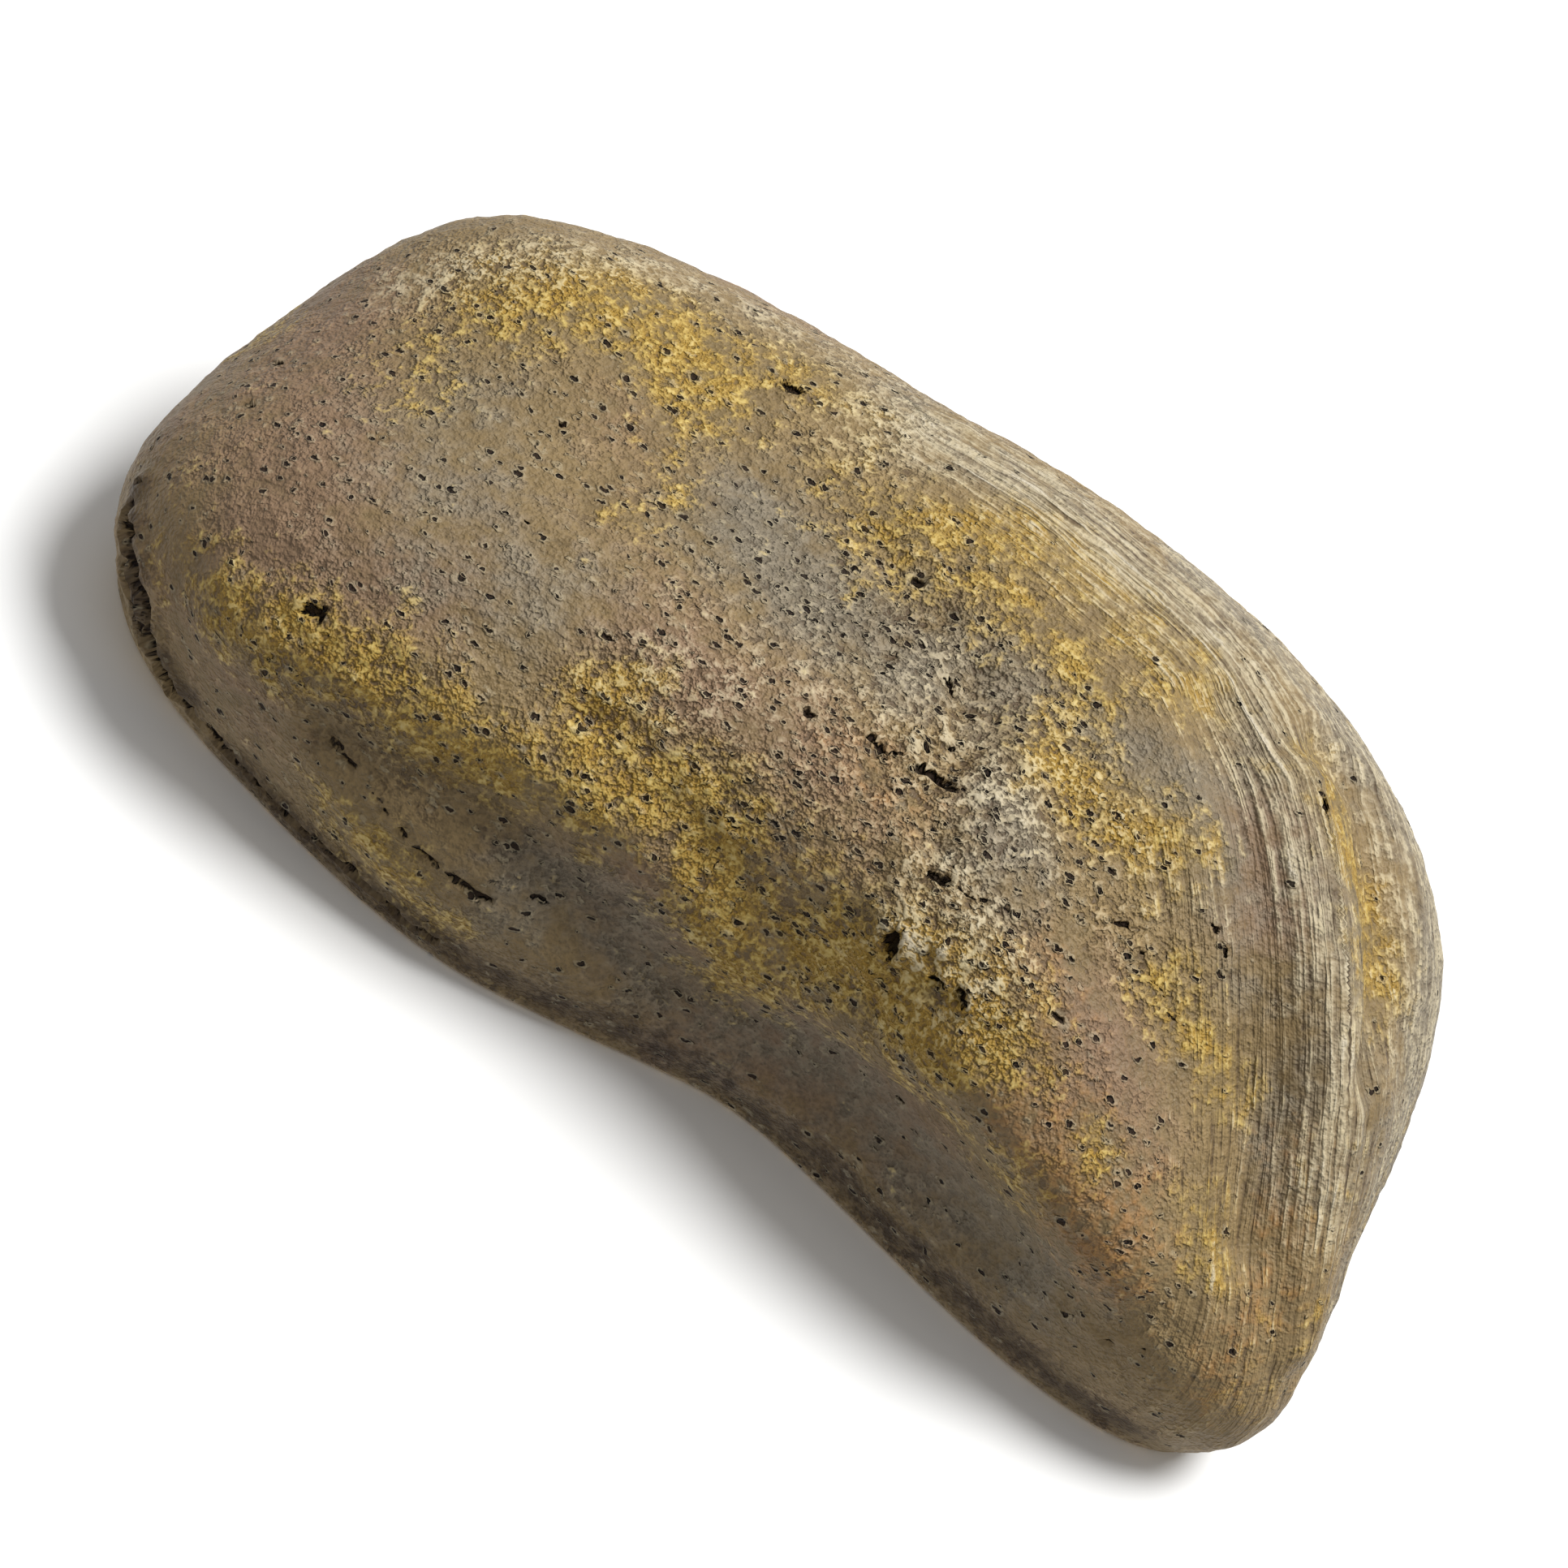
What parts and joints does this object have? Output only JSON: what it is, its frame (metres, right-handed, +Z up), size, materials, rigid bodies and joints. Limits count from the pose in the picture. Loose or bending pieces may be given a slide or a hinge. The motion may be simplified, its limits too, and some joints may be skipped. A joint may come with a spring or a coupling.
{
  "type": "key hiding garden rock",
  "caption": "Hollow cast garden rock with a rectangular key cavity in its flat base, closed by a push-in cover with a fold-out pull tab.",
  "frame": {"origin": "middle of the rock's footprint box, on the surface that it stands on", "axes": "+X along the rock's length, to the right seen from its low front; +Y towards its steep back; +Z up"},
  "size_m": [0.1162, 0.0681, 0.044],
  "materials": {
    "painted_cast_stone": "satin, stippled ochre and umber paint over fine pitted relief",
    "cast_backfill": "smooth cast resin, matte, mottled grey and cream",
    "moulded_cover": "satin moulded polypropylene",
    "flexible_tab": "thin semi-matte polyethylene"
  },
  "bodies": {
    "rock": {"rock_shell": "painted_cast_stone", "base_infill": "cast_backfill"},
    "cover": {"cover_plate": "moulded_cover"},
    "tab": {"pull_tab": "flexible_tab"}
  },
  "joints": [
    {"name": "cover_lift_off", "type": "slide", "parent": "rock", "child": "cover", "axis": [0, 0, -1], "range_m": [0, 0.08]},
    {"name": "tab_fold", "type": "hinge", "parent": "cover", "child": "tab", "pos_m": [0, 0.001, 0.0019], "axis": [-1, 0, 0], "range_deg": [0, 90]}
  ]
}
